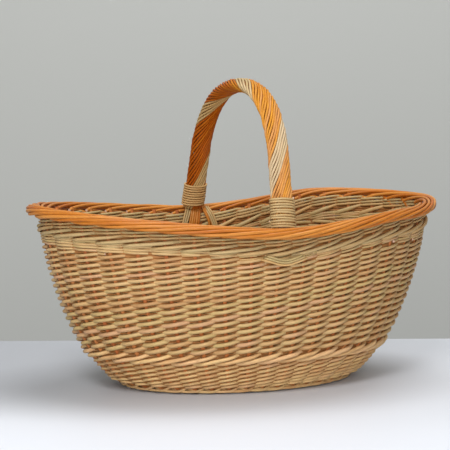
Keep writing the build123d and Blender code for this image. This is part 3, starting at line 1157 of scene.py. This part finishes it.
def seeThroughBack(material):
    # Clear from behind, so that the object shows from every side
    nodes = material.node_tree.nodes
    links = material.node_tree.links
    side = nodes.new("ShaderNodeNewGeometry")
    empty = nodes.new("ShaderNodeBsdfTransparent")
    mix = nodes.new("ShaderNodeMixShader")
    links.new(side.outputs["Backfacing"], mix.inputs[0])
    links.new(nodes["Principled BSDF"].outputs["BSDF"], mix.inputs[1])
    links.new(empty.outputs["BSDF"], mix.inputs[2])
    links.new(mix.outputs["Shader"], nodes["Material Output"].inputs["Surface"])
    return material


def tablePaint():
    # White top that loses its light towards its back, most of all at the left
    material = softPaint("table_top", studio["tableColour"], studio["tableRough"], studio["tableScale"])
    tree = material.node_tree
    shader = tree.nodes["Principled BSDF"]
    plain = shader.inputs["Base Color"].links[0].from_socket
    place = tree.nodes.new("ShaderNodeTexCoord")
    parts = tree.nodes.new("ShaderNodeSeparateXYZ")
    tree.links.new(place.outputs["Object"], parts.inputs["Vector"])
    depth = stretched(tree, parts.outputs["Y"], tableShade["backSpan"], (0.0, 1.0), "SMOOTHSTEP")
    side = stretched(tree, parts.outputs["X"], tableShade["sideSpan"], tableShade["side"], "SMOOTHSTEP")
    fall = stretched(tree, parts.outputs["Y"], tableShade["fallSpan"], tableShade["fall"], "SMOOTHSTEP")
    shade = combined(tree, "MULTIPLY", depth, side)
    dimmed = tree.nodes.new("ShaderNodeHueSaturation")
    tree.links.new(plain, dimmed.inputs["Color"])
    tree.links.new(combined(tree, "SUBTRACT", fall, shade), dimmed.inputs["Value"])
    tree.links.new(dimmed.outputs["Color"], shader.inputs["Base Color"])
    return material


# Camera: angles in degrees, distances in millimetres, and the photo's pixels
view = {
    "azimuth": -21.35,
    "elevation": 5.607,
    "distance": 1900.0,
    "shift": -13.42,
    "height": 173.758,
    "focal": 1694.64,
    "photoSize": 450,
    "tableLeftRow": 341.0,
    "tableRightRow": 338.5,
    "sensor": 36.0,
}
azimuth = math.radians(view["azimuth"])
elevation = math.radians(view["elevation"])
flat = math.cos(elevation)
back = Vector((math.sin(azimuth) * flat, -math.cos(azimuth) * flat, math.sin(elevation)))
right = Vector((math.cos(azimuth), math.sin(azimuth), 0))
cameraPlace = (Vector((0, 0, view["height"])) + back * view["distance"] + right * view["shift"]) * mm
lens = bpy.data.cameras.new("camera")
lens.sensor_width = view["sensor"]
lens.lens = view["focal"] / view["photoSize"] * view["sensor"]
lens.clip_end = 50  # metres
camera = bpy.data.objects.new("camera", lens)
camera.location = cameraPlace
camera.rotation_euler = (-back).to_track_quat("-Z", "Y").to_euler()
bpy.context.scene.collection.objects.link(camera)
bpy.context.scene.camera = camera


def groundPoint(column, row):
    # Where the view through this point of the photo meets the table
    middle = view["photoSize"] / 2
    up = right.cross(-back)
    way = -back + right * ((column - middle) / view["focal"]) - up * ((row - middle) / view["focal"])
    return cameraPlace + way * (-cameraPlace.z / way.z)


backLeft = groundPoint(0, view["tableLeftRow"])
backRight = groundPoint(view["photoSize"], view["tableRightRow"])
edgeWay = (backRight - backLeft).normalized()
edgeMiddle = (backLeft + backRight) / 2
toFront = Vector((edgeWay.y, -edgeWay.x, 0))

tableLong, tableWide, tableThick = studio["tableSize"]
bpy.ops.mesh.primitive_cube_add(size=1)
table = bpy.context.object
table.name = "table"
table.dimensions = (tableLong, tableWide, tableThick)
table.rotation_euler = (0, 0, math.atan2(edgeWay.y, edgeWay.x))
table.location = edgeMiddle + toFront * tableWide / 2 - Vector((0, 0, tableThick / 2))
table.data.materials.append(tablePaint())
bevel = table.modifiers.new("edge", "BEVEL")
bevel.width = studio["edgeWidth"]
bevel.segments = studio["edgeSteps"]
bpy.ops.mesh.primitive_plane_add(size=1)
wall = bpy.context.object
wall.name = "wall"
wall.dimensions = studio["wallSize"]
wall.rotation_euler = (math.pi / 2, 0, azimuth)
wall.location = edgeMiddle - toFront * studio["wallAway"] + Vector((0, 0, studio["wallHeight"]))
wallPaint = softPaint("wall_paint", studio["wallColour"], studio["wallRough"], studio["wallScale"])
wall.data.materials.append(seeThroughBack(wallPaint))

world = bpy.data.worlds.new("studio")
bpy.context.scene.world = world
world.use_nodes = True
world.node_tree.nodes["Background"].inputs["Color"].default_value = (1.0, 1.0, 1.0, 1)
world.node_tree.nodes["Background"].inputs["Strength"].default_value = studio["world"]

# Lamps, in metres and watts
lamps = {
    "key": {"place": (-1.5, -2.0, 2.6), "aim": (0, 0, 0.1), "size": 1.1, "power": 62},
    "top": {"place": (0.3, 0.2, 2.6), "aim": (0, 0, 0.1), "size": 1.4, "power": 40},
    "low": {"place": (-0.8, -1.7, 0.45), "aim": (0, 0, 0.05), "size": 0.9, "power": 15},
}
for name, look in lamps.items():
    data = bpy.data.lights.new(name, "AREA")
    data.size = look["size"]
    data.energy = look["power"]
    lamp = bpy.data.objects.new(name, data)
    lamp.location = look["place"]
    lamp.rotation_euler = (Vector(look["aim"]) - Vector(look["place"])).to_track_quat("-Z", "Y").to_euler()
    bpy.context.scene.collection.objects.link(lamp)
bpy.context.scene.view_settings.view_transform = "Standard"
print("studio done")

saveSize()
